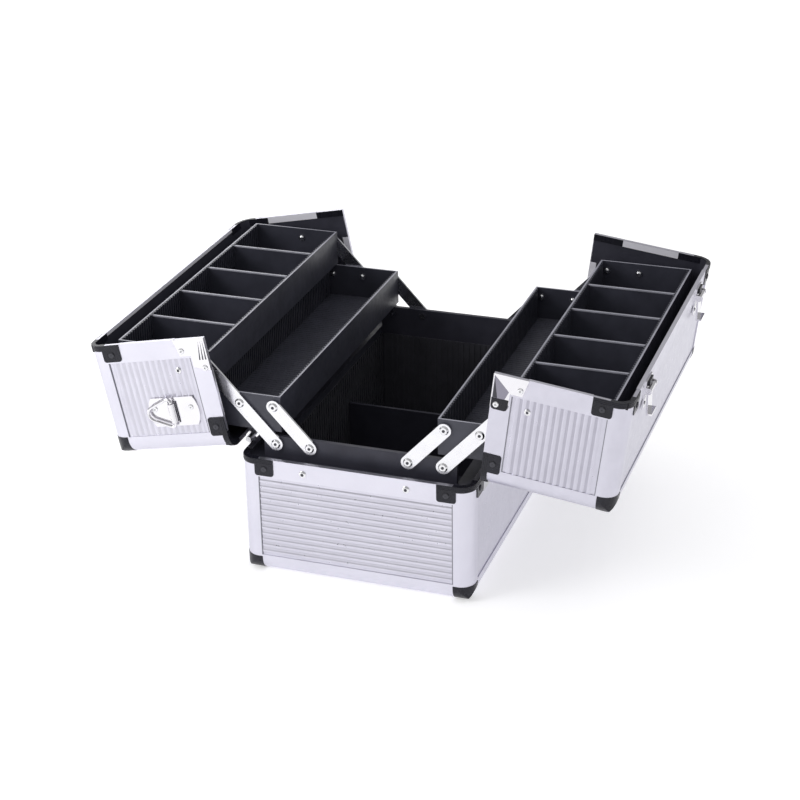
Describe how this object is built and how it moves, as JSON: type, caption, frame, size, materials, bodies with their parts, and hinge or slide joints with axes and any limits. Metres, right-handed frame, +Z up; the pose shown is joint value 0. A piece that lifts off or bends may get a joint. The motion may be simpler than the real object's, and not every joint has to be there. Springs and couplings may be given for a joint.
{
  "type": "cantilever tool box",
  "caption": "Aluminium-framed cantilever tool box, open: two lids swing outwards while linked arms carry slotted trays out over the sides of a lined base.",
  "frame": {"origin": "middle of the flat bottom, on the surface that the box stands on", "axes": "+X across the box towards the lid with the latches, +Y along the box away from its front end, +Z up"},
  "size_m": [0.5209, 0.3696, 0.2314],
  "materials": {
    "profile_aluminium": "satin anodised",
    "facing_aluminium": "satin, ribbed",
    "corner_plastic": "moulded, semi-gloss",
    "chrome": "polished",
    "arm_steel": "zinc plated",
    "rivet_steel": "plated",
    "hinge_steel": "rolled",
    "handle_plastic": "moulded",
    "tray_plastic": "satin moulded",
    "lining_plastic": "ribbed",
    "board_black": "coated board"
  },
  "bodies": {
    "base": {"base_shell": "board_black", "base_frame": "profile_aluminium", "base_facings": "facing_aluminium", "base_bottom_sheet": "facing_aluminium", "base_corners": "corner_plastic", "raised_end_wall_front": "board_black", "raised_end_wall_rear": "board_black", "inner_side_walls": "board_black", "inner_ledge": "board_black", "base_lining": "lining_plastic", "base_divider": "board_black", "base_pivot_rivets": "rivet_steel", "hinge_base_leaf_right": "hinge_steel", "hinge_base_leaf_left": "hinge_steel", "hinge_pins": "hinge_steel"},
    "lid_right": {"lid_right_shell": "board_black", "lid_right_frame": "profile_aluminium", "lid_right_facings": "facing_aluminium", "lid_right_corners": "corner_plastic", "lid_right_corner_plates": "chrome", "hinge_lid_leaf_right": "hinge_steel", "latch_plates": "chrome"},
    "lid_left": {"lid_left_shell": "board_black", "lid_left_frame": "profile_aluminium", "lid_left_facings": "facing_aluminium", "lid_left_corners": "corner_plastic", "lid_left_corner_plates": "chrome", "hinge_lid_leaf_left": "hinge_steel", "latch_catches": "chrome", "handle_brackets": "chrome", "strap_plates": "chrome"},
    "latch_front": {"latch_lever_front": "chrome"},
    "latch_rear": {"latch_lever_rear": "chrome"},
    "handle": {"carrying_handle": "handle_plastic"},
    "ring_front": {"strap_ring_front": "chrome"},
    "ring_rear": {"strap_ring_rear": "chrome"},
    "short_arms_right": {"arm_short_front_right": "arm_steel", "arm_short_rear_right": "arm_steel"},
    "short_arms_left": {"arm_short_front_left": "arm_steel", "arm_short_rear_left": "arm_steel"},
    "long_arms_right": {"arm_long_front_right": "arm_steel", "arm_long_rear_right": "arm_steel"},
    "long_arms_left": {"arm_long_front_left": "arm_steel", "arm_long_rear_left": "arm_steel"},
    "upper_arms_right": {"arm_upper_front_right": "arm_steel", "arm_upper_rear_right": "arm_steel"},
    "upper_arms_left": {"arm_upper_front_left": "arm_steel", "arm_upper_rear_left": "arm_steel"},
    "lower_tray_right": {"lower_tray_right": "tray_plastic", "lower_slot_strips_right": "tray_plastic", "lower_tray_rivets_right": "rivet_steel"},
    "lower_tray_left": {"lower_tray_left": "tray_plastic", "lower_slot_strips_left": "tray_plastic", "lower_tray_rivets_left": "rivet_steel"},
    "upper_tray_right": {"upper_tray_right": "tray_plastic", "upper_inserts_right": "tray_plastic", "upper_tray_rivets_right": "rivet_steel"},
    "upper_tray_left": {"upper_tray_left": "tray_plastic", "upper_inserts_left": "tray_plastic", "upper_tray_rivets_left": "rivet_steel"}
  },
  "joints": [
    {"name": "lid_right", "type": "hinge", "parent": "base", "child": "lid_right", "pos_m": [0.1155, 0, 0.1173], "axis": [0, -1, 0], "range_deg": [0, 97]},
    {"name": "short_arms_right", "type": "hinge", "parent": "base", "child": "short_arms_right", "pos_m": [0.04665, 0, 0.1274], "axis": [0, -1, 0], "range_deg": [0, 86.01]},
    {"name": "long_arms_right", "type": "hinge", "parent": "base", "child": "long_arms_right", "pos_m": [0.0793, 0, 0.1274], "axis": [0, -1, 0], "range_deg": [0, 86.01]},
    {"name": "lower_tray_right", "type": "hinge", "parent": "long_arms_right", "child": "lower_tray_right", "pos_m": [0.11305, 0, 0.1636], "axis": [0, 1, 0], "range_deg": [0, 86.01]},
    {"name": "upper_tray_right", "type": "hinge", "parent": "long_arms_right", "child": "upper_tray_right", "pos_m": [0.1468, 0, 0.1998], "axis": [0, 1, 0], "range_deg": [0, 86.01]},
    {"name": "upper_arms_right", "type": "hinge", "parent": "lower_tray_right", "child": "upper_arms_right", "pos_m": [0.1457, 0, 0.1636], "axis": [0, -1, 0], "range_deg": [0, 86.01]},
    {"name": "lid_left", "type": "hinge", "parent": "base", "child": "lid_left", "pos_m": [-0.1155, 0, 0.1173], "axis": [0, 1, 0], "range_deg": [0, 101.6]},
    {"name": "short_arms_left", "type": "hinge", "parent": "base", "child": "short_arms_left", "pos_m": [-0.04665, 0, 0.1274], "axis": [0, 1, 0], "range_deg": [0, 86.01]},
    {"name": "long_arms_left", "type": "hinge", "parent": "base", "child": "long_arms_left", "pos_m": [-0.0793, 0, 0.1274], "axis": [0, 1, 0], "range_deg": [0, 86.01]},
    {"name": "lower_tray_left", "type": "hinge", "parent": "long_arms_left", "child": "lower_tray_left", "pos_m": [-0.11305, 0, 0.1636], "axis": [0, -1, 0], "range_deg": [0, 86.01]},
    {"name": "upper_tray_left", "type": "hinge", "parent": "long_arms_left", "child": "upper_tray_left", "pos_m": [-0.1468, 0, 0.1998], "axis": [0, -1, 0], "range_deg": [0, 86.01]},
    {"name": "upper_arms_left", "type": "hinge", "parent": "lower_tray_left", "child": "upper_arms_left", "pos_m": [-0.1457, 0, 0.1636], "axis": [0, 1, 0], "range_deg": [0, 86.01]},
    {"name": "latch_front", "type": "hinge", "parent": "lid_right", "child": "latch_front", "pos_m": [0.25089, -0.11, 0.20495], "axis": [0, -1, 0], "range_deg": [0, 173]},
    {"name": "latch_rear", "type": "hinge", "parent": "lid_right", "child": "latch_rear", "pos_m": [0.25089, 0.11, 0.20495], "axis": [0, -1, 0], "range_deg": [0, 173]},
    {"name": "handle", "type": "hinge", "parent": "lid_left", "child": "handle", "pos_m": [-0.26, 0, 0.18717], "axis": [0, 1, 0], "range_deg": [-11.6, 98.4]},
    {"name": "strap_ring_front", "type": "hinge", "parent": "lid_left", "child": "ring_front", "pos_m": [-0.17158, -0.1818, 0.15326], "axis": [-0.2011, 0, 0.9796], "range_deg": [0, 180]},
    {"name": "strap_ring_rear", "type": "hinge", "parent": "lid_left", "child": "ring_rear", "pos_m": [-0.17158, 0.1818, 0.15326], "axis": [0.2011, 0, -0.9796], "range_deg": [0, 180]}
  ],
  "couplings": [
    {"joint": "short_arms_right", "follows": "lid_right", "ratio": 0.8866},
    {"joint": "long_arms_right", "follows": "lid_right", "ratio": 0.8866},
    {"joint": "lower_tray_right", "follows": "lid_right", "ratio": 0.8866},
    {"joint": "upper_tray_right", "follows": "lid_right", "ratio": 0.8866},
    {"joint": "upper_arms_right", "follows": "lid_right", "ratio": 0.8866},
    {"joint": "short_arms_left", "follows": "lid_left", "ratio": 0.84646},
    {"joint": "long_arms_left", "follows": "lid_left", "ratio": 0.84646},
    {"joint": "lower_tray_left", "follows": "lid_left", "ratio": 0.84646},
    {"joint": "upper_tray_left", "follows": "lid_left", "ratio": 0.84646},
    {"joint": "upper_arms_left", "follows": "lid_left", "ratio": 0.84646}
  ]
}
